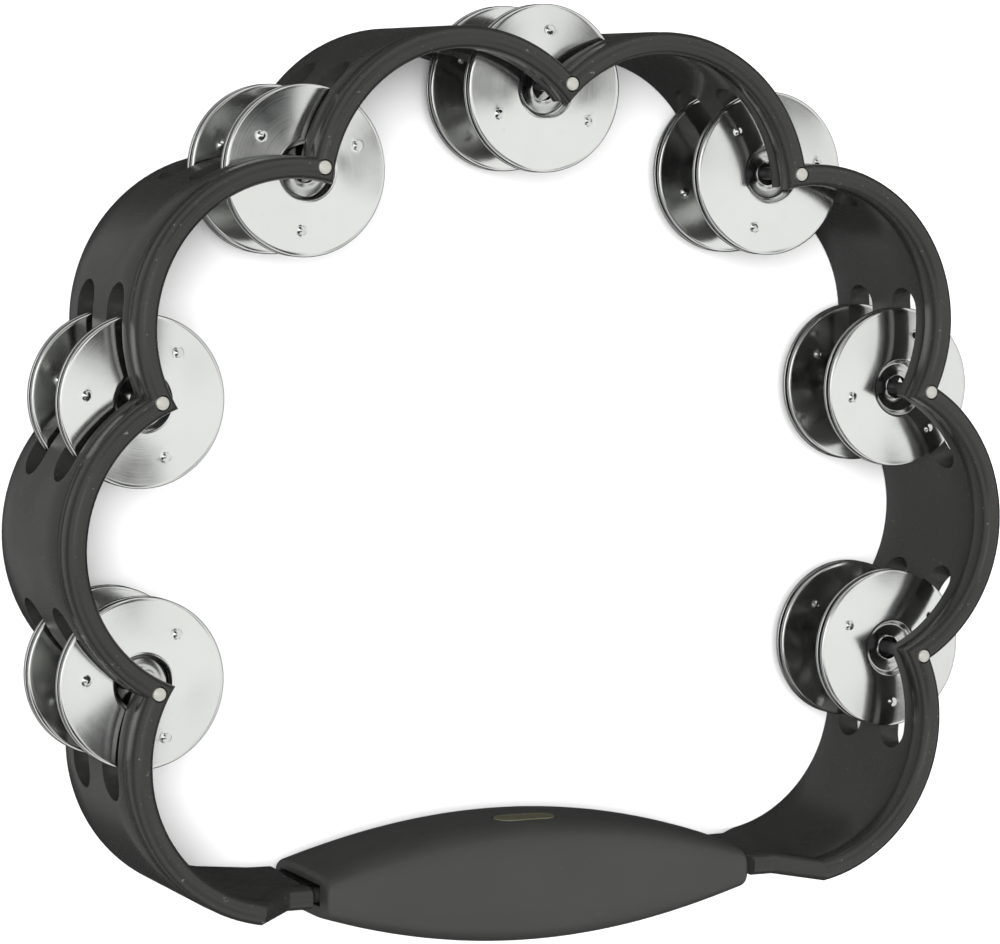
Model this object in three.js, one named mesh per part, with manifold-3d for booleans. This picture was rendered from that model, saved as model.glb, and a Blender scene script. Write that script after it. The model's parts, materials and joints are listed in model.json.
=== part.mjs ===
// A scalloped hand tambourine with two rows of jingle pairs and a spindle grip.
// Millimetres, +Z up. It lies on its rear edge with the front rim on top, and +Y runs from
// the grip to the crown. The ring's plan is ten equal lobes, two of which give way to the grip.
import * as THREE from 'three';
import { mergeVertices } from 'three/addons/utils/BufferGeometryUtils.js';
import Module from 'manifold-3d';

const wasm = await Module();
wasm.setup();

// ---- driving dimensions ----
const DEPTH = 48;                 // front rim to rear edge
const LOBE_STEP = 36;             // degrees from one lobe to the next
const LOBE_CENTRE = 86.9;         // ring centre to the centre of a lobe's arc
const RIM = { outer: 40.2, inner: 34.8, depth: 6.2, round: 2.5 };
const BAND = { outer: 40.3, inner: 35.2, rearInner: 34.2 };   // the inside wall has draft
const CREASE = { deep: 0.9, high: 0.8 };
const LOBE_SEGMENTS = 12;

const PIN_CIRCLE = 109.6;
const PIN = { radius: 1.6, head: 0.35, foot: 0.3, clearance: 0.3, sides: 12 };
const STATION_ANGLES = [-108, -72, -36, 0, 36, 72, 108];

const SLOT = { high: 10.8, frontDepth: 10.5, rearDepth: 30.9, endAngle: 21.5, reach: 8, sides: 12 };

const JINGLE = { radius: 20.55, hole: 2.9, sheet: 0.5, lip: 1.4, cup: 7.2, bow: 0.45, floor: 1.1 };
const JINGLE_SIDES = 18;
const PAIR_GAP = 0.8;             // between the backs of a pair's two cups
// Station by station, how far each pair has slid rearwards from the middle of its slot, and how
// far it hangs towards the grip on its pin.
const FRONT_ROW_SLIDE = [-2.6, -0.9, -2.6, 0.9, 2.1, 2.0, 2.6];
const REAR_ROW_SLIDE = [-0.1, -1.2, -1.2, 2.6, 2.6, 2.6, 2.6];
const HANG = [-0.9, 0.5, 0.9, 1.0, 0, -0.3, 0];

// The bar from each corner into the grip: how far its front and rear are drawn in at each x, and
// how thick it is beside the band.
const BAR = { y: -87.3, cornerAngle: 44 };
const BAR_SHOULDER = { x: 67, front: 9, rear: 11, thick: 1 };
const BAR_ENTRY = { x: 61, front: 9, rear: 11.5, thick: 1 };
const BAR_NECK = { x: 59, front: 12.5, rear: 11.5, thick: 0.7 };
const BAR_INSIDE = { x: 50, front: 12.5, rear: 11.5, thick: 0.7 };

const GRIP = {
  half: 58, midHeight: 15.2, endHeight: 5.2, midDepth: 18.8, endDepth: 17.2,
  squareness: 4, endRound: 1.2, wall: 2.6, seam: 0.3, channelGap: 0.5, slices: 14, sides: 20,
};
const GRIP_RIBS = { x: [-20, 20], thick: 3 };
const PLATE = { z: 29, long: 17, wide: 8, thick: 0.8, recess: 1.1, gap: 0.3 };

// ---- helpers ----
const rad = THREE.MathUtils.degToRad;
const MID_DEPTH = DEPTH / 2;
const BAND_MIDDLE = (BAND.outer + BAND.inner) / 2;

/** A point in plan at an angle clockwise from +Y. */
function polar(radius, degrees) {
  return new THREE.Vector2(radius * Math.sin(rad(degrees)), radius * Math.cos(rad(degrees)));
}

/** A closed geometry from rings of equal length; closed round the rings too, or capped at both ends. */
function skin(rings, capped) {
  const n = rings[0].length;
  const positions = rings.flat().flatMap((p) => [p.x, p.y, p.z]);
  const faces = [];
  const last = capped ? rings.length - 1 : rings.length;
  for (let i = 0; i < last; i += 1) {
    const here = i * n;
    const there = ((i + 1) % rings.length) * n;
    for (let j = 0; j < n; j += 1) {
      const k = (j + 1) % n;
      faces.push(here + j, there + j, here + k, here + k, there + j, there + k);
    }
  }
  if (capped) {
    const end = (rings.length - 1) * n;
    for (let j = 1; j < n - 1; j += 1) {
      faces.push(0, j, j + 1);
      faces.push(end, end + j + 1, end + j);
    }
  }
  const geometry = new THREE.BufferGeometry();
  geometry.setAttribute('position', new THREE.Float32BufferAttribute(positions, 3));
  geometry.setIndex(faces);
  return outward(geometry);
}

/** The geometry with its faces turned outward, found from the sign of its volume. */
function outward(geometry) {
  const p = geometry.attributes.position;
  const index = geometry.index.array;
  const [a, b, c] = [new THREE.Vector3(), new THREE.Vector3(), new THREE.Vector3()];
  let volume = 0;
  for (let i = 0; i < index.length; i += 3) {
    a.fromBufferAttribute(p, index[i]);
    b.fromBufferAttribute(p, index[i + 1]);
    c.fromBufferAttribute(p, index[i + 2]);
    volume += a.dot(b.cross(c));
  }
  if (volume < 0) {
    for (let i = 0; i < index.length; i += 3) {
      [index[i], index[i + 1]] = [index[i + 1], index[i]];
    }
  }
  return geometry;
}

function solid(geometry) {
  const clean = geometry.clone();
  clean.deleteAttribute('normal');
  clean.deleteAttribute('uv');
  const merged = mergeVertices(clean, 1e-4);
  return new wasm.Manifold(new wasm.Mesh({
    numProp: 3,
    vertProperties: new Float32Array(merged.attributes.position.array),
    triVerts: new Uint32Array(merged.index.array),
  }));
}

function geometryOf(manifold) {
  const mesh = manifold.getMesh();
  const geometry = new THREE.BufferGeometry();
  geometry.setAttribute('position', new THREE.BufferAttribute(mesh.vertProperties, 3));
  geometry.setIndex(new THREE.BufferAttribute(mesh.triVerts, 1));
  geometry.computeVertexNormals();
  return geometry;
}

function box(x0, x1, y0, y1, z0, z1) {
  const geometry = new THREE.BoxGeometry(x1 - x0, y1 - y0, z1 - z0);
  geometry.translate((x0 + x1) / 2, (y0 + y1) / 2, (z0 + z1) / 2);
  return solid(geometry);
}

// ---- frame: one moulding, swept round the ring and along the bar inside the grip ----

/** The section as radius from a lobe's centre and height, up the outside and down the inside. */
function frameSection() {
  const creaseTop = DEPTH - RIM.depth;
  const side = ({ rim, band, rear, into }) => [
    { r: rear, z: 0 },
    { r: band, z: creaseTop - CREASE.high },
    { r: rim + into * CREASE.deep, z: creaseTop - CREASE.high / 2 },
    { r: rim, z: creaseTop + CREASE.high / 2 },
    { r: rim, z: DEPTH - RIM.round },
    { r: rim + into * RIM.round * 0.3, z: DEPTH - RIM.round * 0.3 },
    { r: rim + into * RIM.round, z: DEPTH },
  ];
  const outside = side({ rim: RIM.outer, band: BAND.outer, rear: BAND.outer, into: -1 });
  const inside = side({ rim: RIM.inner, band: BAND.inner, rear: BAND.rearInner, into: 1 });
  return [...outside, ...inside.reverse()];
}

/** The angle from a lobe's axis at which its arc of this radius meets the cusp. */
function cuspAngle(radius) {
  const halfStep = rad(LOBE_STEP / 2);
  const across = LOBE_CENTRE * Math.sin(halfStep);
  const out = LOBE_CENTRE * Math.cos(halfStep) + Math.sqrt(radius ** 2 - across ** 2);
  return THREE.MathUtils.radToDeg(
    Math.atan2(out * Math.sin(halfStep), out * Math.cos(halfStep) - LOBE_CENTRE),
  );
}

function lobePoint(direction, radius, angle, z) {
  const centre = polar(LOBE_CENTRE, direction);
  const arm = polar(radius, direction + angle);
  return new THREE.Vector3(centre.x + arm.x, centre.y + arm.y, z);
}

/** A ring of the bar on one side, its front and rear drawn in as the stop says. */
function barRing(section, side, { x, front, rear, thick }) {
  return section.map(({ r, z }) => new THREE.Vector3(
    side * x,
    BAR.y - (r - BAND_MIDDLE) * thick,
    z > MID_DEPTH ? z - front : z + rear,
  ));
}

function frameRings() {
  const section = frameSection();
  const rings = [];
  for (let direction = -126; direction <= 126; direction += LOBE_STEP) {
    const first = direction === -126;
    const last = direction === 126;
    const steps = last ? LOBE_SEGMENTS + 1 : LOBE_SEGMENTS;
    for (let i = 0; i < steps; i += 1) {
      const t = i / LOBE_SEGMENTS;
      rings.push(section.map(({ r, z }) => {
        const from = first ? -BAR.cornerAngle : -cuspAngle(r);
        const to = last ? BAR.cornerAngle : cuspAngle(r);
        return lobePoint(direction, r, from + (to - from) * t, z);
      }));
    }
  }
  const stops = [BAR_SHOULDER, BAR_ENTRY, BAR_NECK, BAR_INSIDE];
  for (const stop of stops) rings.push(barRing(section, 1, stop));
  for (const stop of stops.reverse()) rings.push(barRing(section, -1, stop));
  return rings;
}

/** What is cut for one row of jingles at the cusp on +Y: a slab over the cusp with two round ends. */
function slotCutter(depthFromFront) {
  const top = DEPTH - depthFromFront;
  const round = SLOT.high / 2;
  const roundAngle = SLOT.endAngle + THREE.MathUtils.radToDeg(round / BAND_MIDDLE);
  const near = BAND.rearInner - SLOT.reach / 2;
  const far = RIM.outer + SLOT.reach / 2;
  const lobe = LOBE_STEP / 2;
  const innerRight = lobePoint(lobe, near, -roundAngle, 0);
  const outerRight = lobePoint(lobe, far, -roundAngle, 0);
  const plan = new THREE.Shape([
    new THREE.Vector2(innerRight.x, innerRight.y),
    new THREE.Vector2(outerRight.x, outerRight.y),
    new THREE.Vector2(-outerRight.x, outerRight.y),
    new THREE.Vector2(-innerRight.x, innerRight.y),
    new THREE.Vector2(0, PIN_CIRCLE - SLOT.reach),
  ]);
  const slab = new THREE.ExtrudeGeometry(plan, { depth: SLOT.high, bevelEnabled: false });
  slab.translate(0, 0, top - SLOT.high);
  let cutter = solid(slab);
  for (const side of [-1, 1]) {
    const middle = lobePoint(side * lobe, (near + far) / 2, -side * roundAngle, top - round);
    const end = new THREE.CylinderGeometry(round, round, far - near, SLOT.sides);
    end.rotateZ(-rad(side * (lobe - roundAngle)));
    end.translate(middle.x, middle.y, middle.z);
    cutter = cutter.add(solid(end));
  }
  return cutter;
}

function frameSolid() {
  let body = solid(skin(frameRings(), false));
  const hole = new THREE.CylinderGeometry(
    PIN.radius + PIN.clearance, PIN.radius + PIN.clearance, 2 * DEPTH, PIN.sides,
  );
  hole.rotateX(Math.PI / 2);
  hole.translate(0, PIN_CIRCLE, MID_DEPTH);
  const cutter = slotCutter(SLOT.frontDepth).add(slotCutter(SLOT.rearDepth)).add(solid(hole));
  for (const angle of STATION_ANGLES) {
    body = body.subtract(cutter.rotate([0, 0, -angle]));
  }
  return body;
}

// ---- pins and jingles ----

/** A pin from just above the rear edge to its low domed head on the front rim. */
function pinGeometry() {
  const { radius, head, foot, sides } = PIN;
  const profile = [
    new THREE.Vector2(0, foot),
    new THREE.Vector2(radius - foot, foot),
    new THREE.Vector2(radius, 2 * foot),
    new THREE.Vector2(radius, DEPTH),
    new THREE.Vector2(radius * 0.7, DEPTH + head * 0.7),
    new THREE.Vector2(0, DEPTH + head),
  ];
  return new THREE.LatheGeometry(profile, sides).rotateX(Math.PI / 2);
}

/** A stamped jingle about its own axis: its face edge at height 0, its lip and cup below. */
function jingleGeometry() {
  const { radius, hole, sheet, lip, cup, bow, floor } = JINGLE;
  const profile = [
    new THREE.Vector2(hole, -floor),
    new THREE.Vector2(hole, -floor - sheet),
    new THREE.Vector2(cup, bow - sheet),
    new THREE.Vector2(radius - 2 * sheet, -sheet),
    new THREE.Vector2(radius, -lip),
    new THREE.Vector2(radius - 0.3, 0),
    new THREE.Vector2(cup, bow),
    new THREE.Vector2(hole, -floor),
  ];
  return new THREE.LatheGeometry(profile, JINGLE_SIDES).rotateX(Math.PI / 2);
}

// ---- grip: two half shells closed over the bar ----

/** Half height and half depth of the spindle at x. */
function gripSize(x, inset) {
  const t = Math.min(1, Math.abs(x) / GRIP.half);
  const shape = 1 - t ** 2;
  const end = Math.max(0, Math.abs(x) - (GRIP.half - GRIP.endRound));
  const rounding = GRIP.endRound - Math.sqrt(Math.max(0, GRIP.endRound ** 2 - end ** 2));
  return {
    height: GRIP.endHeight + (GRIP.midHeight - GRIP.endHeight) * shape - rounding - inset,
    depth: GRIP.endDepth + (GRIP.midDepth - GRIP.endDepth) * shape - rounding - inset,
  };
}

/** A ring of the spindle at x: a squared oval. */
function gripRing(x, inset) {
  const { height, depth } = gripSize(x, inset);
  const power = 2 / GRIP.squareness;
  return Array.from({ length: GRIP.sides }, (_, i) => {
    const a = (2 * Math.PI * i) / GRIP.sides;
    const [c, s] = [Math.cos(a), Math.sin(a)];
    return new THREE.Vector3(
      x,
      BAR.y + height * Math.sign(c) * Math.abs(c) ** power,
      MID_DEPTH + depth * Math.sign(s) * Math.abs(s) ** power,
    );
  });
}

function spindle(half, inset) {
  const xs = Array.from({ length: GRIP.slices + 1 }, (_, i) => {
    const t = -1 + (2 * i) / GRIP.slices;
    return Math.sin((t * Math.PI) / 2) * half;
  });
  return solid(skin(xs.map((x) => gripRing(x, inset)), true));
}

/** A rounded plate outline pulled up along +Y from height y. */
function plateSolid(long, wide, y, thick) {
  const outline = new THREE.Shape();
  const flat = (long - wide) / 2;
  outline.absarc(flat, 0, wide / 2, -Math.PI / 2, Math.PI / 2);
  outline.absarc(-flat, 0, wide / 2, Math.PI / 2, (3 * Math.PI) / 2);
  const geometry = new THREE.ExtrudeGeometry(outline, {
    depth: thick, bevelEnabled: false, curveSegments: 6,
  });
  geometry.rotateX(-Math.PI / 2);
  geometry.translate(0, y, PLATE.z);
  return solid(geometry);
}

const GRIP_TOP = BAR.y + GRIP.midHeight;

function gripSolid() {
  const outer = spindle(GRIP.half, 0);
  let cavity = spindle(GRIP.half - 2 * GRIP.wall, GRIP.wall);
  for (const x of GRIP_RIBS.x) {
    const half = GRIP_RIBS.thick / 2;
    cavity = cavity.subtract(box(x - half, x + half, -200, 0, -10, DEPTH + 10));
  }
  const { front, rear, thick } = BAR_INSIDE;
  const channel = box(
    -GRIP.half - 5, GRIP.half + 5,
    BAR.y - (BAND.outer - BAND_MIDDLE) * thick - GRIP.channelGap,
    BAR.y + (BAND_MIDDLE - BAND.rearInner) * thick + GRIP.channelGap,
    rear - GRIP.channelGap, DEPTH - front + GRIP.channelGap,
  );
  const pocket = plateSolid(PLATE.long, PLATE.wide, GRIP_TOP - PLATE.recess, 5);
  return outer.subtract(cavity).subtract(channel).subtract(pocket);
}

function gripHalf(whole, isFront) {
  const z = MID_DEPTH + (isFront ? GRIP.seam / 2 : -GRIP.seam / 2);
  const keep = isFront ? box(-80, 80, -140, 0, z, DEPTH) : box(-80, 80, -140, 0, 0, z);
  return whole.intersect(keep);
}

// ---- the assembly ----

const COLOURS = {
  frame: ['#3a3a38', 0.42, 0],
  steel: ['#cfd2cc', 0.12, 1],
  pin: ['#d9d8ca', 0.3, 1],
  grip: ['#3d3d3b', 0.6, 0],
  plate: ['#7c7a50', 0.4, 0.3],
};

function mesh(name, geometry, look) {
  const [color, roughness, metalness] = COLOURS[look];
  const made = new THREE.Mesh(
    geometry, new THREE.MeshStandardMaterial({ color, roughness, metalness }),
  );
  made.name = name;
  return made;
}

const tambourine = new THREE.Group();
tambourine.add(mesh('frame', geometryOf(frameSolid()), 'frame'));

/** Adds the two discs of one pair, backs together about height z at a station's pin. */
function addPair(station, row, at, z) {
  const half = PAIR_GAP / 2 + JINGLE.floor + JINGLE.sheet;
  for (const [letter, side] of [['a', 1], ['b', -1]]) {
    const disc = mesh(`jingle_${station}_${row}_${letter}`, jingleGeometry(), 'steel');
    disc.position.set(at.x, at.y, z + side * half);
    disc.rotation.x = side > 0 ? 0 : Math.PI;
    tambourine.add(disc);
  }
}

STATION_ANGLES.forEach((angle, i) => {
  const at = polar(PIN_CIRCLE, angle);
  const pin = mesh(`pin_${i + 1}`, pinGeometry(), 'pin');
  pin.position.set(at.x, at.y, 0);
  tambourine.add(pin);
  const slotMiddle = (depth) => DEPTH - depth - SLOT.high / 2;
  const hung = new THREE.Vector2(at.x, at.y - HANG[i]);
  addPair(i + 1, 'front', hung, slotMiddle(SLOT.frontDepth) - FRONT_ROW_SLIDE[i]);
  addPair(i + 1, 'rear', hung, slotMiddle(SLOT.rearDepth) - REAR_ROW_SLIDE[i]);
});

const grip = gripSolid();
tambourine.add(mesh('grip_front_half', geometryOf(gripHalf(grip, true)), 'grip'));
tambourine.add(mesh('grip_rear_half', geometryOf(gripHalf(grip, false)), 'grip'));
const plate = plateSolid(
  PLATE.long - 2 * PLATE.gap, PLATE.wide - 2 * PLATE.gap,
  GRIP_TOP - PLATE.recess + PLATE.gap, PLATE.thick,
);
tambourine.add(mesh('name_plate', geometryOf(plate), 'plate'));

// The origin is under the middle of the whole instrument, from the crown's jingles to the grip.
const crown = PIN_CIRCLE + JINGLE.radius - HANG[STATION_ANGLES.indexOf(0)];
const foot = BAR.y - GRIP.midHeight;
tambourine.position.y = -(crown + foot) / 2;

export default tambourine;
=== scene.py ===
import json
import math
import random

import bpy
import bmesh
from mathutils import Matrix, Vector


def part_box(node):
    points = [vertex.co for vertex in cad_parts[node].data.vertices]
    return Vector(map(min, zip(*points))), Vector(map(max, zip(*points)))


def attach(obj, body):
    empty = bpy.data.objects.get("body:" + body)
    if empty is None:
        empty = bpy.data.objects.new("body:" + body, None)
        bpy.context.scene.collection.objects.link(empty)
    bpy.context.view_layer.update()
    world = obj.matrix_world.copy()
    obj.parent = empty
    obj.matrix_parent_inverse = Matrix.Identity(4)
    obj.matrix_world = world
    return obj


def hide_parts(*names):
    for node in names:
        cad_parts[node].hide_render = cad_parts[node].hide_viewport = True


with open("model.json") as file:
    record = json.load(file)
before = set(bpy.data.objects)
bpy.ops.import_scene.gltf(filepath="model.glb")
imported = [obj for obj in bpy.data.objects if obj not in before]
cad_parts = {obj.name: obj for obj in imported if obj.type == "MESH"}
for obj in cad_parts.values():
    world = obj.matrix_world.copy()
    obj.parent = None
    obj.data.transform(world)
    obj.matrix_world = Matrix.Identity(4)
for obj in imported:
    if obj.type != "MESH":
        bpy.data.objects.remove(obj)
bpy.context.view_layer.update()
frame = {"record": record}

MM = 0.001
DEPTH = 48.0

# ---- dimensions of the visual pieces, in millimetres ----
LOBES = 8
LOBE_STEP = 36.0
LOBE_CENTRE = 86.9
RIM = {"outer": 40.2, "inner": 34.8, "depth": 6.2, "round": 2.5}
BAND = {"outer": 40.3, "inner": 35.2, "rear_inner": 34.2, "rear_round": 0.6}
CREASE = {"deep": 0.9, "high": 0.8}
LOBE_SEGMENTS = 44
PIN_CIRCLE = 109.6
STATION_ANGLES = (-108, -72, -36, 0, 36, 72, 108)
STATIONS = range(1, len(STATION_ANGLES) + 1)
SLOT = {"high": 10.8, "depths": (10.5, 30.9), "end_angle": 21.5, "reach": 8.0, "past_pin": 14.0,
        "least_half": 0.2}
PIN = {"hole": 1.9, "shaft": 1.6, "head": 0.35, "foot": 0.3, "shoulder": 0.12, "below_head": 3.0}
BAR_Y = -87.3
BAR_CORNER_ANGLE = 44.0
BAR_STOPS = (          # x, how far the front and the rear are drawn in, and the thickness
    (67.0, 9.0, 11.0, 1.0),
    (61.0, 9.0, 11.5, 1.0),
    (59.0, 12.5, 11.5, 0.7),
    (50.0, 12.5, 11.5, 0.7),
)
BAR_STEPS = 4
GRIP = {"half": 58.0, "mid_height": 15.2, "end_height": 5.2, "mid_depth": 18.8,
        "end_depth": 17.2, "squareness": 4.0, "end_round": 1.2, "seam": 0.04, "gap": 0.5}
PLATE = {"z": 29.0, "long": 16.4, "wide": 7.4, "recess": 1.1, "gap": 0.3}
JINGLE = {"radius": 20.55, "hole": 2.9, "sheet": 0.5, "cup": 7.2, "bow": 0.45,
          "floor": 1.1, "edge": -0.25, "dimple_at": 14.2, "dimple_radius": 1.25, "dimple_high": 0.45}
# Rings across a jingle's face and underneath it, close together where the dimples are.
FACE_RADII = (7.8, 8.6, 9.6, 10.6, 11.6, 12.4, 12.85, 13.2, 13.5, 13.8, 14.05,
              14.35, 14.6, 14.9, 15.2, 15.55, 16.2, 17.0, 17.8, 18.6, 19.2, 19.6)
UNDER_RADII = (18.6, 17.0, 15.55, 15.2, 14.9, 14.6, 14.35, 14.05, 13.8,
               13.5, 13.2, 12.85, 11.6, 9.6, 7.8)
# The slight waviness of a jingle: nothing inside one radius, full further out, less at the edge.
WARP = {"waves": 4, "size": 0.022, "pitch": (16, 34), "from": 7.5, "over": 3,
        "edge_from": 19.7, "edge_share": 0.6}
BAND_MIDDLE = (BAND["outer"] + BAND["inner"]) / 2
CUTTER = {"x": 80.0, "y": (-140.0, 0.0), "past": 10.0}      # how far the grip's cutters reach


def middle(node):
    low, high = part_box(node)
    return (low + high) / 2


def ring_centre_y():
    """The ring's centre in the row frame, from where the crown's pin and a lower pin stand."""
    crown, low = middle("pin_4").y, middle("pin_1").y
    radius = (crown - low) / (1 - math.cos(math.radians(STATION_ANGLES[0])))
    return crown - radius


SHIFT_Y = ring_centre_y()


# ---- mesh helpers ----

def make_object(name, verts, faces, sharp_angle=35.0):
    """A smooth-shaded object from points in millimetres about the ring's centre."""
    mesh = bpy.data.meshes.new(name)
    mesh.from_pydata([(x * MM, y * MM + SHIFT_Y, z * MM) for x, y, z in verts], [], faces)
    return finish_mesh(name, mesh, sharp_angle)


def finish_mesh(name, mesh, sharp_angle=35.0):
    """Turns the faces outward, and gives an object in the scene with smooth shading."""
    bm = bmesh.new()
    bm.from_mesh(mesh)
    bmesh.ops.recalc_face_normals(bm, faces=bm.faces)
    bm.to_mesh(mesh)
    bm.free()
    obj = bpy.data.objects.new(name, mesh)
    bpy.context.scene.collection.objects.link(obj)
    shade(obj, sharp_angle)
    return obj


def shade(obj, sharp_angle):
    obj.data.polygons.foreach_set("use_smooth", [True] * len(obj.data.polygons))
    obj.data.set_sharp_from_angle(angle=math.radians(sharp_angle))


def ring_faces(rings, points, closed):
    """Quads between neighbouring rings of points; the rings close on themselves."""
    faces = []
    last = rings if closed else rings - 1
    for i in range(last):
        here, there = i * points, ((i + 1) % rings) * points
        for j in range(points):
            k = (j + 1) % points
            faces.append((here + j, there + j, there + k, here + k))
    if not closed:
        faces.append(tuple(range(points)))
        end = (rings - 1) * points
        faces.append(tuple(end + j for j in reversed(range(points))))
    return faces


def cut(obj, tool):
    """Takes the tool out of the object with an exact Boolean, and removes the tool."""
    modifier = obj.modifiers.new("cut", "BOOLEAN")
    modifier.operation = "DIFFERENCE"
    modifier.solver = "EXACT"
    modifier.object = tool
    bpy.context.view_layer.update()
    graph = bpy.context.evaluated_depsgraph_get()
    made = bpy.data.meshes.new_from_object(obj.evaluated_get(graph))
    obj.modifiers.clear()
    old = obj.data
    obj.data = made
    bpy.data.meshes.remove(old)
    bpy.data.objects.remove(tool)


def arc(centre_r, centre_z, radius, start, stop, steps):
    """Points round a corner of a section, from one angle to another."""
    points = []
    for i in range(steps + 1):
        a = math.radians(start + (stop - start) * i / steps)
        points.append((centre_r + radius * math.cos(a), centre_z + radius * math.sin(a)))
    return points


# ---- the frame: one moulding ----

def frame_section():
    """(radius from a lobe's centre, height) round the section, up the outside and down the inside."""
    crease_top = DEPTH - RIM["depth"]
    crease_low = crease_top - CREASE["high"]
    crease_mid = crease_top - CREASE["high"] / 2
    rear = BAND["rear_round"]
    bead = RIM["round"]
    points = arc(BAND["outer"] - rear, rear, rear, -90, 0, 3)
    points += [(BAND["outer"], z) for z in (8, 16, 24, 32)]
    points += [(BAND["outer"], crease_low - 0.5), (BAND["outer"] - 0.25, crease_low)]
    points += [(RIM["outer"] - CREASE["deep"], crease_mid)]
    points += [(RIM["outer"] - 0.3, crease_top), (RIM["outer"], crease_top + 0.6)]
    points += arc(RIM["outer"] - bead, DEPTH - bead, bead, 0, 90, 8)
    points += arc(RIM["inner"] + bead, DEPTH - bead, bead, 90, 180, 8)
    points += [(RIM["inner"], crease_top + 0.6), (RIM["inner"] + 0.3, crease_top)]
    points += [(RIM["inner"] + CREASE["deep"], crease_mid)]
    points += [(BAND["inner"] + 0.25, crease_low), (BAND["inner"], crease_low - 0.5)]

    def inside(z):
        return BAND["rear_inner"] + (BAND["inner"] - BAND["rear_inner"]) * z / crease_low
    points += [(inside(z), z) for z in (32, 24, 16, 8)]
    points += arc(BAND["rear_inner"] + rear, rear, rear, 180, 270, 3)
    return points


def cusp_angle(radius):
    """How far round a lobe its circle of this radius meets the next lobe's."""
    half = math.radians(LOBE_STEP / 2)
    across = LOBE_CENTRE * math.sin(half)
    out = LOBE_CENTRE * math.cos(half) + math.sqrt(radius ** 2 - across ** 2)
    return math.degrees(math.atan2(out * math.sin(half), out * math.cos(half) - LOBE_CENTRE))


def lobe_point(direction, radius, angle, z):
    """A point on the lobe that lies in one direction from the ring's centre."""
    d, a = math.radians(direction), math.radians(direction + angle)
    return (LOBE_CENTRE * math.sin(d) + radius * math.sin(a),
            LOBE_CENTRE * math.cos(d) + radius * math.cos(a), z)


def bar_ring(section, side, stop):
    """The section standing across the bar: its rim drawn back, and the band below it made narrower."""
    x, front, rear, thick = stop
    band_top = DEPTH - RIM["depth"] - CREASE["high"] - 0.5
    narrowed = (band_top - front - rear) / band_top

    def moved(z):
        return z - front if z > band_top else rear + z * narrowed
    return [(side * x, BAR_Y - (r - BAND_MIDDLE) * thick, moved(z)) for r, z in section]


def between(ring_a, ring_b, steps):
    """Rings that ease from one to the next, without the first and with the last."""
    rings = []
    for i in range(1, steps + 1):
        t = i / steps
        rings.append([tuple(a + (b - a) * t for a, b in zip(p, q)) for p, q in zip(ring_a, ring_b)])
    return rings


def frame_mesh():
    """The section swept round the lobes and back along the bar."""
    section = frame_section()
    rings = []
    directions = [(k - (LOBES - 1) / 2) * LOBE_STEP for k in range(LOBES)]
    for direction in directions:
        first, last = direction == directions[0], direction == directions[-1]
        for i in range(LOBE_SEGMENTS + (1 if last else 0)):
            t = i / LOBE_SEGMENTS
            ring = []
            for r, z in section:
                # The two angles at which this lobe ends.
                low = -BAR_CORNER_ANGLE if first else -cusp_angle(r)
                high = BAR_CORNER_ANGLE if last else cusp_angle(r)
                ring.append(lobe_point(direction, r, low + (high - low) * t, z))
            rings.append(ring)
    left_end = rings[0]
    here = rings[-1]
    for stop in BAR_STOPS:
        there = bar_ring(section, 1, stop)
        rings += between(here, there, BAR_STEPS)
        here = there
    here = bar_ring(section, -1, BAR_STOPS[-1])
    rings.append(here)
    for stop in reversed(BAR_STOPS[:-1]):
        there = bar_ring(section, -1, stop)
        rings += between(here, there, BAR_STEPS)
        here = there
    rings += between(here, left_end, BAR_STEPS)[:-1]
    verts = [p for ring in rings for p in ring]
    return make_object("frame_moulding", verts, ring_faces(len(rings), len(section), True))


def turned(points, angle):
    """Points turned clockwise in plan about the ring's centre."""
    c, s = math.cos(math.radians(angle)), math.sin(math.radians(angle))
    return [(x * c + y * s, -x * s + y * c, z) for x, y, z in points]


def slot_points(depth, steps=18):
    """A closed cutter for one slot at the crown: a strip over the cusp with round ends."""
    top = DEPTH - depth
    half = SLOT["high"] / 2
    z_mid = top - half
    round_angle = SLOT["end_angle"] + math.degrees(half / BAND_MIDDLE)
    near = BAND["rear_inner"] - SLOT["reach"] / 2
    far = RIM["outer"] + SLOT["reach"] / 2
    lobe = LOBE_STEP / 2
    # The angle and the half height of each row across the strip, from its round end to its middle.
    rows = []
    for i in range(steps + 1):
        a = math.pi / 2 * i / steps
        angle = round_angle - math.degrees(half * math.cos(a) / BAND_MIDDLE)
        rows.append((angle, max(half * math.sin(a), SLOT["least_half"])))
    # The same rows as an inside point, an outside point and a half height, and their mirror images.
    left = [(lobe_point(-lobe, near, angle, 0), lobe_point(-lobe, far, angle, 0), h)
            for angle, h in rows]
    right = [((-p[0], p[1], 0), (-q[0], q[1], 0), h) for p, q, h in reversed(left)]
    centre = ((0, PIN_CIRCLE - SLOT["reach"], 0), (0, PIN_CIRCLE + SLOT["past_pin"], 0), half)
    return left + [centre] + right, z_mid


def slot_cutter(depth, angle):
    """Points and faces of the cutter for the slot at one station."""
    rows, z_mid = slot_points(depth)
    verts, faces = [], []
    for inner, outer, h in rows:
        for x, y, z in (inner, outer):
            verts += [(x, y, z_mid - h), (x, y, z_mid + h)]
    verts = turned(verts, angle)
    for i in range(len(rows) - 1):
        a, b = 4 * i, 4 * (i + 1)
        for j, k in ((0, 1), (1, 3), (3, 2), (2, 0)):
            faces.append((a + j, a + k, b + k, b + j))
    faces.append((0, 2, 3, 1))
    e = 4 * (len(rows) - 1)
    faces.append((e, e + 1, e + 3, e + 2))
    return verts, faces


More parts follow.
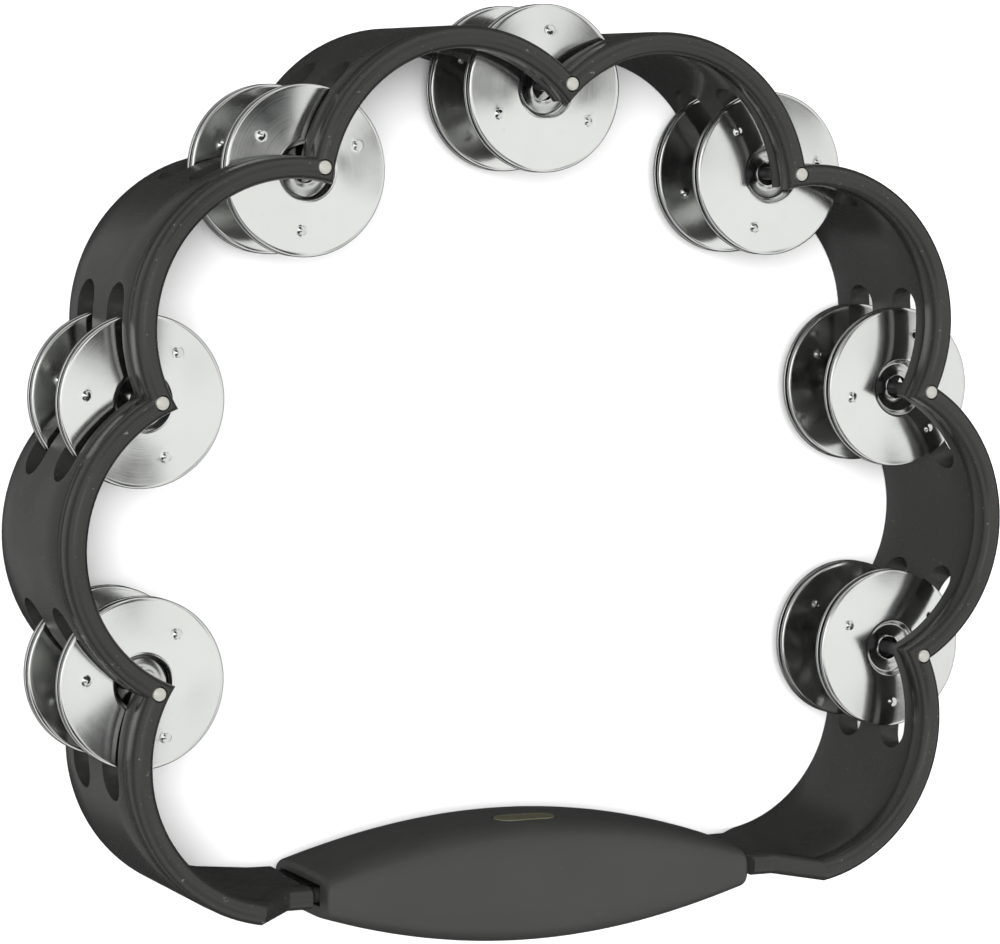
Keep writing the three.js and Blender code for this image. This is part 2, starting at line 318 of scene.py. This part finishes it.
def hole_cutter(angle, sides=32):
    ring = [(PIN["hole"] * math.cos(2 * math.pi * i / sides),
             PIN_CIRCLE + PIN["hole"] * math.sin(2 * math.pi * i / sides)) for i in range(sides)]
    low, high = [(x, y, -5) for x, y in ring], [(x, y, DEPTH + 5) for x, y in ring]
    verts = turned(low + high, angle)
    return verts, ring_faces(2, sides, False)


def frame_piece():
    frame_obj = frame_mesh()
    for depth in SLOT["depths"]:
        cut(frame_obj, joined("slots", [slot_cutter(depth, a) for a in STATION_ANGLES]))
    cut(frame_obj, joined("holes", [hole_cutter(a) for a in STATION_ANGLES]))
    shade(frame_obj, 32)
    return frame_obj


def joined(name, parts):
    """One object from several closed bodies that don't touch."""
    verts, faces = [], []
    for part_verts, part_faces in parts:
        start = len(verts)
        verts += part_verts
        faces += [tuple(start + i for i in face) for face in part_faces]
    return make_object(name, verts, faces)


# ---- pins ----

def lathe(profile, sides):
    """Points and faces of a profile of (radius, height) turned about Z; ends on the axis."""
    verts, faces = [], []
    for r, z in profile:
        for i in range(sides):
            a = 2 * math.pi * i / sides
            verts.append((r * math.cos(a), r * math.sin(a), z))
    for i in range(len(profile) - 1):
        for j in range(sides):
            k = (j + 1) % sides
            faces.append((i * sides + j, i * sides + k, (i + 1) * sides + k, (i + 1) * sides + j))
    faces.append(tuple(reversed(range(sides))))
    faces.append(tuple((len(profile) - 1) * sides + j for j in range(sides)))
    return verts, faces


def pin_piece(i):
    at = middle(f"pin_{i}")
    r, foot, head, shoulder = PIN["shaft"], PIN["foot"], PIN["head"], PIN["shoulder"]
    profile = [(r - foot, foot), (r - foot * 0.3, foot * 1.3), (r, foot * 2),
               (r, DEPTH - PIN["below_head"]), (r, DEPTH - shoulder)]
    for k in range(1, 8):
        a = math.pi / 2 * k / 8
        profile.append((r * math.cos(a), DEPTH - shoulder + (head + shoulder) * math.sin(a)))
    profile.append((0.05, DEPTH + head))
    verts, faces = lathe(profile, 40)
    mesh = bpy.data.meshes.new(f"pin_{i}_nail")
    mesh.from_pydata([(x * MM, y * MM, z * MM) for x, y, z in verts], [], faces)
    obj = finish_mesh(f"pin_{i}_nail", mesh, 40)
    obj.location = (at.x, at.y, 0)
    return obj


# ---- jingles ----

def jingle_profile():
    """(radius, height) over the face from the hole to the lip, and back underneath."""
    j = JINGLE
    t = j["sheet"]

    def face(r):
        """The face's height: highest beside the cup, falling as a slightly bowed cone to its edge."""
        u = (r - j["cup"]) / (j["radius"] - 0.55 - j["cup"])
        return j["bow"] - (j["bow"] - j["edge"]) * u ** 1.1
    top = [(j["hole"], -j["floor"] - t * 0.5), (j["hole"] + 0.02, -j["floor"] - 0.02),
           (j["hole"] + 0.12, -j["floor"] + 0.1), (j["hole"] + 0.26, -j["floor"] + 0.08),
           (j["hole"] + 0.4, -j["floor"]), (4.6, -j["floor"] + 0.02),
           (5.9, -j["floor"] + 0.06), (6.5, -j["floor"] + 0.2)]
    top += [(6.75, -0.45), (6.95, 0.1), (7.05, 0.34), (j["cup"] + 0.05, j["bow"])]
    top += [(r, face(r)) for r in FACE_RADII]
    top += [(20.0, j["edge"]), (20.27, -0.33), (20.46, -0.48), (j["radius"], -0.68),
            (j["radius"], -1.1), (20.5, -1.3), (20.35, -1.4)]
    under = [(20.15, -1.38), (20.05, -1.25), (20.04, -0.95), (19.85, -0.8), (19.5, -0.72)]
    under += [(r, face(r) - t) for r in UNDER_RADII]
    under += [(j["cup"], -0.1), (6.6, -0.55), (6.2, -1.1), (5.6, -1.42), (4.6, -1.56),
              (j["hole"] + 0.5, -1.6), (j["hole"] + 0.1, -1.58)]
    return top + under


def jingle_angles(spin):
    """Angles round a disc, close together at the three dimples."""
    offsets = [-6, -4.5, -3, -1.5, 0, 1.5, 3, 4.5, 6] + [6 + 108 * k / 22 for k in range(1, 22)]
    return [math.radians(spin + 120 * third + o) for third in range(3) for o in offsets]


def random_waves(rng):
    waves = []
    for _ in range(WARP["waves"]):
        direction = rng.uniform(0, 2 * math.pi)
        pitch = 2 * math.pi / rng.uniform(*WARP["pitch"])
        waves.append((pitch * math.cos(direction), pitch * math.sin(direction),
                      rng.uniform(0, 2 * math.pi), WARP["size"]))
    return waves


def warp(x, y, waves):
    """How far the waves lift a point of the disc."""
    return sum(size * math.sin(kx * x + ky * y + phase) for kx, ky, phase, size in waves)


def jingle_piece(name, up, spin, rng):
    """One disc, in its CAD node's place; its cup sinks away from the side that it faces."""
    j = JINGLE
    profile = jingle_profile()
    angles = jingle_angles(spin)
    waves = random_waves(rng)
    dimples = [(j["dimple_at"] * math.cos(math.radians(spin + 120 * k)),
                j["dimple_at"] * math.sin(math.radians(spin + 120 * k))) for k in range(3)]
    verts, faces = [], []
    for r, z in profile:
        share = max(0.0, min(1.0, (r - WARP["from"]) / WARP["over"]))
        share *= 1 if r < WARP["edge_from"] else WARP["edge_share"]
        for a in angles:
            x, y = r * math.cos(a), r * math.sin(a)
            lift = warp(x, y, waves) * share
            for dx, dy in dimples:
                d = math.hypot(x - dx, y - dy) / j["dimple_radius"]
                if d < 1:
                    lift += j["dimple_high"] * (1 - d * d) ** 2
            verts.append((x * MM, y * MM, (z + lift) * MM))
    n = len(angles)
    for i in range(len(profile)):
        for k in range(n):
            m = (k + 1) % n
            here, there = i * n, ((i + 1) % len(profile)) * n
            faces.append((here + k, here + m, there + m, there + k))
    mesh = bpy.data.meshes.new(name)
    mesh.from_pydata(verts, [], faces)
    obj = finish_mesh(name, mesh, 60)
    low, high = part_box(name.replace("_disc", ""))
    face_edge = high.z - j["bow"] * MM if up else low.z + j["bow"] * MM
    flip = Matrix.Identity(4) if up else Matrix.Rotation(math.pi, 4, "X")
    obj.matrix_world = Matrix.Translation(((low.x + high.x) / 2, (low.y + high.y) / 2, face_edge)) @ flip
    return obj


# ---- grip and plate ----

def grip_size(x):
    """Half the grip's height and half its depth at one place along it."""
    t = min(1.0, abs(x) / GRIP["half"])
    shape = 1 - t ** 2
    end = max(0.0, abs(x) - (GRIP["half"] - GRIP["end_round"]))
    rounding = GRIP["end_round"] - math.sqrt(max(0.0, GRIP["end_round"] ** 2 - end ** 2))
    return (GRIP["end_height"] + (GRIP["mid_height"] - GRIP["end_height"]) * shape - rounding,
            GRIP["end_depth"] + (GRIP["mid_depth"] - GRIP["end_depth"]) * shape - rounding)


def grip_ring(x, sides):
    height, depth = grip_size(x)
    power = 2 / GRIP["squareness"]
    ring = []
    for i in range(sides):
        a = 2 * math.pi * i / sides
        c, s = math.cos(a), math.sin(a)
        ring.append((x, BAR_Y + height * math.copysign(abs(c) ** power, c),
                     DEPTH / 2 + depth * math.copysign(abs(s) ** power, s)))
    return ring


def spindle_object(name, sides=120):
    half, end = GRIP["half"], GRIP["end_round"]
    xs = [-half + end * (1 - math.cos(math.radians(a))) for a in (0, 20, 40, 60, 80)]
    xs += [(-half + end) + (2 * (half - end)) * i / 72 for i in range(73)]
    xs += [half - end * (1 - math.cos(math.radians(a))) for a in (80, 60, 40, 20, 0)]
    rings = [grip_ring(x, sides) for x in xs]
    return make_object(name, [p for r in rings for p in r], ring_faces(len(rings), sides, False), 30)


def box_object(name, x0, x1, y0, y1, z0, z1):
    verts = [(x, y, z) for x in (x0, x1) for y in (y0, y1) for z in (z0, z1)]
    faces = [(0, 1, 3, 2), (4, 6, 7, 5), (0, 4, 5, 1), (2, 3, 7, 6), (0, 2, 6, 4), (1, 5, 7, 3)]
    return make_object(name, verts, faces)


def stadium(long, wide, steps=20):
    """A rounded outline in x and z about its own middle."""
    flat = (long - wide) / 2
    points = []
    for side in (1, -1):
        for i in range(steps + 1):
            a = math.radians(-90 + 180 * i / steps)
            points.append((side * (flat + wide / 2 * math.cos(a)), side * wide / 2 * math.sin(a)))
    return points


def stadium_body(levels):
    """Points and faces of a rounded plate from (y, inset) levels, bottom to top."""
    rings = []
    for y, inset in levels:
        outline = stadium(PLATE["long"] - 2 * inset, PLATE["wide"] - 2 * inset)
        rings.append([(x, y, PLATE["z"] + z) for x, z in outline])
    return [p for r in rings for p in r], ring_faces(len(rings), len(rings[0]), False)


def grip_pieces():
    """The two shells, each with a channel for the bar, and the plate's pocket in the front one."""
    top = BAR_Y + GRIP["mid_height"]
    _, front, rear, thick = BAR_STOPS[-1]
    gap, wide, past = GRIP["gap"], CUTTER["x"], CUTTER["past"]
    made = []
    for name, side in (("grip_front_shell", 1), ("grip_rear_shell", -1)):
        shell = spindle_object(name)
        if side > 0:
            low, high = -past, DEPTH / 2 + GRIP["seam"] / 2
        else:
            low, high = DEPTH / 2 - GRIP["seam"] / 2, DEPTH + past
        cut(shell, box_object("other_half", -wide, wide, *CUTTER["y"], low, high))
        cut(shell, box_object(
            "channel", -wide, wide, BAR_Y - (BAND["outer"] - BAND_MIDDLE) * thick - gap,
            BAR_Y + (BAND_MIDDLE - BAND["rear_inner"]) * thick + gap,
            rear - gap, DEPTH - front + gap))
        if side > 0:
            outset = -PLATE["gap"]
            verts, faces = stadium_body([(top - PLATE["recess"], outset), (top + 4, outset)])
            cut(shell, make_object("pocket", verts, faces))
        shade(shell, 30)
        made.append(shell)
    return made


def plate_piece():
    """A blank cap with a raised rim, at its CAD node's height."""
    low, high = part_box("name_plate")
    base = (low.y - SHIFT_Y) / MM
    top = (high.y - SHIFT_Y) / MM
    levels = [(base, 0.15), (base + 0.12, 0), (top - 0.16, 0), (top - 0.04, 0.12), (top, 0.35),
              (top, 0.8), (top - 0.1, 0.95), (top - 0.1, 1.3)]
    verts, faces = stadium_body(levels)
    return make_object("name_plate_cap", verts, faces, 50)


# ---- materials ----

class Nodes:
    """A small helper that adds and joins shader nodes."""

    def __init__(self, owner, coordinate="Object"):
        owner.use_nodes = True
        self.owner = owner
        self.tree = owner.node_tree
        self.shader = self.tree.nodes.get("Principled BSDF")
        self.here = self.tree.nodes.new("ShaderNodeTexCoord").outputs[coordinate]

    def add(self, kind, **inputs):
        node = self.tree.nodes.new(kind)
        for key, value in inputs.items():
            self.put(node.inputs[key.replace("_", " ")], value)
        return node

    def put(self, socket, value):
        if isinstance(value, bpy.types.NodeSocket):
            self.tree.links.new(value, socket)
        else:
            socket.default_value = value

    def noise(self, scale, detail=3.0, rough=0.5, at=None):
        node = self.add("ShaderNodeTexNoise", Scale=scale, Detail=detail, Roughness=rough)
        self.put(node.inputs["Vector"], at or self.here)
        return node.outputs["Fac"]

    def ramp(self, value, low, high, to_low=0.0, to_high=1.0):
        node = self.tree.nodes.new("ShaderNodeMapRange")
        node.interpolation_type = "SMOOTHSTEP"
        for key, x in (("Value", value), ("From Min", low), ("From Max", high),
                       ("To Min", to_low), ("To Max", to_high)):
            self.put(node.inputs[key], x)
        return node.outputs["Result"]

    def math(self, operation, a, b=0.0):
        node = self.tree.nodes.new("ShaderNodeMath")
        node.operation = operation
        self.put(node.inputs[0], a)
        self.put(node.inputs[1], b)
        return node.outputs[0]

    def blend_of(self, a, a_share, b, b_share):
        return self.math("ADD", self.math("MULTIPLY", a, a_share), self.math("MULTIPLY", b, b_share))

    def wander(self, value, scale, size):
        """The value, shifted a little from place to place."""
        shift = self.math("SUBTRACT", self.noise(scale, 2.0), 0.5)
        return self.math("ADD", value, self.math("MULTIPLY", shift, size))

    def mix(self, factor, a, b):
        node = self.tree.nodes.new("ShaderNodeMix")
        node.data_type = "RGBA"
        sockets = {s.identifier: s for s in node.inputs}
        self.put(sockets["Factor_Float"], factor)
        self.put(sockets["A_Color"], a)
        self.put(sockets["B_Color"], b)
        return next(s for s in node.outputs if s.identifier == "Result_Color")

    def axis(self, name):
        node = self.add("ShaderNodeSeparateXYZ", Vector=self.here)
        return node.outputs[name]

    def bump(self, height, strength, distance):
        node = self.add("ShaderNodeBump", Strength=strength, Distance=distance, Height=height)
        self.put(self.shader.inputs["Normal"], node.outputs["Normal"])

    def set(self, **inputs):
        for key, value in inputs.items():
            self.put(self.shader.inputs[key.replace("_", " ")], value)


def grey(value, tint=(1.0, 1.0, 1.0)):
    """A grey, or a faintly tinted one."""
    return (value * tint[0], value * tint[1], value * tint[2], 1.0)


def frame_plastic():
    n = Nodes(bpy.data.materials.new("frame_plastic_visual"))
    cloud = n.noise(28.0, 4.0)
    grain = n.noise(900.0, 2.0)
    base = n.mix(cloud, grey(0.013, (1.0, 1.0, 0.95)), grey(0.021, (1.0, 1.0, 0.93)))
    specks = n.ramp(n.noise(1500.0, 1.0), 0.74, 0.78)
    base = n.mix(n.math("MULTIPLY", specks, 0.22), base, grey(0.25, (1.0, 1.0, 0.96)))
    crest = n.ramp(n.axis("Z"), 46.6 * MM, 47.8 * MM)
    nicks = n.ramp(n.noise(420.0, 4.0, 0.7), 0.66, 0.70)
    worn = n.math("MULTIPLY", n.math("MULTIPLY", crest, nicks), 0.3)
    base = n.mix(worn, base, grey(0.3, (1.0, 1.0, 0.95)))
    n.set(Base_Color=base, Specular_IOR_Level=0.35,
          Roughness=n.ramp(n.noise(60.0, 3.0), 0.3, 0.7, 0.18, 0.30))
    n.bump(n.blend_of(grain, 0.5, n.noise(160.0, 2.0), 0.5), 0.12, 0.0002)
    return n.owner


def grip_plastic():
    n = Nodes(bpy.data.materials.new("grip_plastic_visual"))
    base = n.mix(n.noise(22.0, 4.0), grey(0.023, (1.0, 1.0, 0.97)), grey(0.031, (1.0, 1.0, 0.96)))
    specks = n.ramp(n.noise(1300.0, 1.0), 0.78, 0.82)
    base = n.mix(n.math("MULTIPLY", specks, 0.25), base, grey(0.1))
    n.set(Base_Color=base, Specular_IOR_Level=0.3,
          Roughness=n.ramp(n.noise(50.0, 3.0), 0.3, 0.7, 0.42, 0.55))
    n.bump(n.noise(1100.0, 2.0), 0.18, 0.0002)
    return n.owner


def jingle_metal():
    n = Nodes(bpy.data.materials.new("jingle_metal_visual"))
    x, y = n.axis("X"), n.axis("Y")
    radius = n.math("SQRT", n.math("ADD", n.math("MULTIPLY", x, x), n.math("MULTIPLY", y, y)))
    lines = n.add("ShaderNodeCombineXYZ", X=radius, Y=0.0, Z=0.0)
    turned_lines = n.noise(2600.0, 3.0, 0.6, lines.outputs[0])
    cloud = n.noise(90.0, 4.0)
    base = n.mix(cloud, grey(0.74, (1.0, 1.0, 0.975)), grey(0.86, (0.985, 1.0, 0.985)))
    # Painted shade: the cup's floor, inside 6.7 mm and outside the ring round the hole, is darkened
    # toward near black, a painted dark reflection in the hollow.
    cup_painted_shade = n.ramp(radius, 6.7 * MM, 7.1 * MM, 1.0, 0.0)
    off_ring = n.ramp(radius, 3.15 * MM, 3.35 * MM)
    base = n.mix(n.math("MULTIPLY", n.math("MULTIPLY", cup_painted_shade, off_ring), 0.3), base,
                 grey(0.06, (1.0, 1.0, 1.05)))
    stain = n.ramp(n.noise(240.0, 5.0, 0.7), 0.62, 0.74)
    base = n.mix(n.math("MULTIPLY", stain, 0.25), base, grey(0.42, (1.0, 0.99, 0.93)))
    n.set(Base_Color=base, Metallic=1.0, Roughness=n.blend_of(turned_lines, 0.12, cloud, 0.16))
    n.bump(n.blend_of(turned_lines, 0.6, n.noise(500.0, 2.0), 0.4), 0.05, 0.00008)
    return n.owner


def pin_metal():
    n = Nodes(bpy.data.materials.new("pin_metal_visual"))
    base = n.mix(n.noise(900.0, 3.0), grey(0.36, (1.0, 0.99, 0.9)), grey(0.46, (1.0, 0.99, 0.92)))
    # Painted shade: below the head the pin is painted near black, where it stands down in its hole and
    # between the discs; only the head keeps the metal's own tone.
    head = n.ramp(n.axis("Z"), 46.0 * MM, 47.0 * MM)
    base = n.mix(head, grey(0.05, (1.0, 1.0, 1.05)), base)
    n.set(Base_Color=base, Metallic=0.55,
          Roughness=n.ramp(n.noise(1400.0, 2.0), 0.3, 0.7, 0.28, 0.42))
    n.bump(n.noise(2400.0, 2.0), 0.08, 0.0001)
    return n.owner


def plate_finish():
    n = Nodes(bpy.data.materials.new("plate_finish_visual"))
    base = n.mix(n.noise(420.0, 3.0), grey(0.10, (1.0, 0.98, 0.6)), grey(0.16, (1.0, 0.98, 0.62)))
    n.set(Base_Color=base, Metallic=0.6,
          Roughness=n.ramp(n.noise(700.0, 2.0), 0.3, 0.7, 0.38, 0.5))
    n.bump(n.noise(1800.0, 2.0), 0.1, 0.0001)
    return n.owner


def floor_paint():
    n = Nodes(bpy.data.materials.new("floor_paint"))
    base = n.mix(n.noise(3.0, 3.0), grey(0.77), grey(0.80))
    n.set(Base_Color=base, Roughness=0.7, Specular_IOR_Level=0.2)
    return n.owner


# ---- the camera, first, then the pieces ----

camera_data = bpy.data.cameras.new("camera")
camera = bpy.data.objects.new("camera", camera_data)
bpy.context.scene.collection.objects.link(camera)
CAMERA_AT = Vector((-0.41154, 0.09562 + SHIFT_Y, 0.85913))
# One row for each of the camera's own axes: to its right, upward, and back from the view.
CAMERA_AXES = (
    (0.90009, 0.01863, 0.43530),
    (0.02152, 0.99597, -0.08712),
    (-0.43517, 0.08779, 0.89606),
)
camera.matrix_world = Matrix.Translation(CAMERA_AT) @ Matrix(CAMERA_AXES).transposed().to_4x4()
camera_data.sensor_fit = "HORIZONTAL"
camera_data.sensor_width = 36.0
camera_data.lens = 135.27
camera_data.clip_start = 0.05
camera_data.clip_end = 20.0
bpy.context.scene.camera = camera

MATERIALS = {
    "frame_plastic": frame_plastic(),
    "grip_plastic": grip_plastic(),
    "jingle_metal": jingle_metal(),
    "pin_metal": pin_metal(),
    "plate_finish": plate_finish(),
}


def place(obj, body, slot, *nodes):
    """Gives a finished piece its material, its body and the CAD nodes that it stands for."""
    obj.data.materials.clear()
    obj.data.materials.append(MATERIALS[slot])
    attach(obj, body)
    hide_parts(*nodes)


place(frame_piece(), "frame", "frame_plastic", "frame")
for i in STATIONS:
    place(pin_piece(i), "frame", "pin_metal", f"pin_{i}")

BODY_OF = {node: body for body, nodes in frame["record"]["behaviour"]["bodies"].items() for node in nodes}
# How each front disc has turned on its pin, where the dimples show it.
SEEN_SPINS = {("front", "a", 4): 87.0, ("front", "a", 6): 70.0}
rng = random.Random(75)
for station in STATIONS:
    for row in ("front", "rear"):
        for letter in ("a", "b"):
            node = f"jingle_{station}_{row}_{letter}"
            spin = rng.uniform(0, 120)
            spin = SEEN_SPINS.get((row, letter, station), spin)
            disc = jingle_piece(f"{node}_disc", letter == "a", spin, rng)
            place(disc, BODY_OF[node], "jingle_metal", node)

front_shell, rear_shell = grip_pieces()
place(front_shell, "frame", "grip_plastic", "grip_front_half")
place(rear_shell, "frame", "grip_plastic", "grip_rear_half")
place(plate_piece(), "frame", "plate_finish", "name_plate")

# ---- floor and light ----

FLOOR_HALF = 6.0
FLOOR_BELOW = 0.0002      # metres, so that it doesn't touch the frame
corners = [(x * FLOOR_HALF, y * FLOOR_HALF, 0.0) for x, y in ((-1, -1), (1, -1), (1, 1), (-1, 1))]
floor_mesh = bpy.data.meshes.new("floor")
floor_mesh.from_pydata(corners, [], [(0, 1, 2, 3)])
floor = bpy.data.objects.new("floor", floor_mesh)
bpy.context.scene.collection.objects.link(floor)
floor.data.materials.append(floor_paint())
floor.location.z = -FLOOR_BELOW
floor.visible_glossy = False      # reflections show the room and not the floor


def studio_world():
    """Pale all round, with dark gaps and one soft box overhead, and dim below the horizon.

    x, y and z are the direction that a reflection looks in. The gaps make dark wedges in the jingles.
    """
    bpy.context.scene.world = bpy.data.worlds.new("studio")
    n = Nodes(bpy.context.scene.world, "Generated")
    x, y, z = n.axis("X"), n.axis("Y"), n.axis("Z")
    y = n.wander(y, 8.0, 0.07)
    x = n.wander(x, 11.0, 0.04)
    soft = 0.03

    def both(a, b):
        return n.math("MULTIPLY", a, b)

    def either(a, b):
        return n.math("MAXIMUM", a, b)

    def window(value, low, high):
        return both(n.ramp(value, low, low + soft), n.ramp(value, high, high + soft, 1.0, 0.0))

    def outside(value, low, high, edge):
        return either(n.ramp(value, high, high + edge), n.ramp(value, low - edge, low, 1.0, 0.0))

    gaps = either(both(window(x, 0.20, 0.345), outside(y, -0.17, -0.01, soft)),
                  both(window(x, 0.48, 0.545), outside(y, -0.17, -0.035, soft)))
    far_side = both(outside(y, -0.22, 0.22, 0.08), n.ramp(x, 0.09, 0.17, 1.0, 0.0))
    soft_box = both(window(x, -0.56, -0.32), window(y, -0.10, 0.30))
    low_left = both(n.ramp(x, -0.2, -0.05, 1.0, 0.0), n.ramp(z, -0.6, -0.4, 1.0, 0.0))

    overhead = n.mix(either(gaps, far_side), grey(1.0, (0.99, 1.0, 0.985)), grey(0.015, (0.9, 1.0, 1.1)))
    overhead = n.mix(soft_box, overhead, grey(1.8))
    above = n.mix(n.ramp(z, 0.72, 0.80), grey(0.85), overhead)
    below = n.mix(low_left, grey(0.05), grey(0.36))
    room = n.mix(n.ramp(z, 0.02, 0.22), below, above)
    path = n.tree.nodes.new("ShaderNodeLightPath")
    seen = n.mix(path.outputs["Is Camera Ray"], room, grey(1.0))
    n.put(n.tree.nodes["Background"].inputs["Color"], seen)


studio_world()


def soft_sun(name, direction, strength, angle):
    """A wide sun. It lights the diffuse surfaces only: reflections show the room and not the suns."""
    data = bpy.data.lights.new(name, "SUN")
    data.energy = strength
    data.angle = math.radians(angle)
    obj = bpy.data.objects.new(name, data)
    bpy.context.scene.collection.objects.link(obj)
    obj.visible_glossy = False
    obj.rotation_mode = "QUATERNION"
    obj.rotation_quaternion = Vector(direction).to_track_quat("Z", "Y")


soft_sun("key", (-0.43, 0.12, 0.89), 3.4, 26)
soft_sun("fill", (-0.2, 0.2, 0.95), 2.0, 90)

bpy.context.scene.view_settings.view_transform = "Standard"
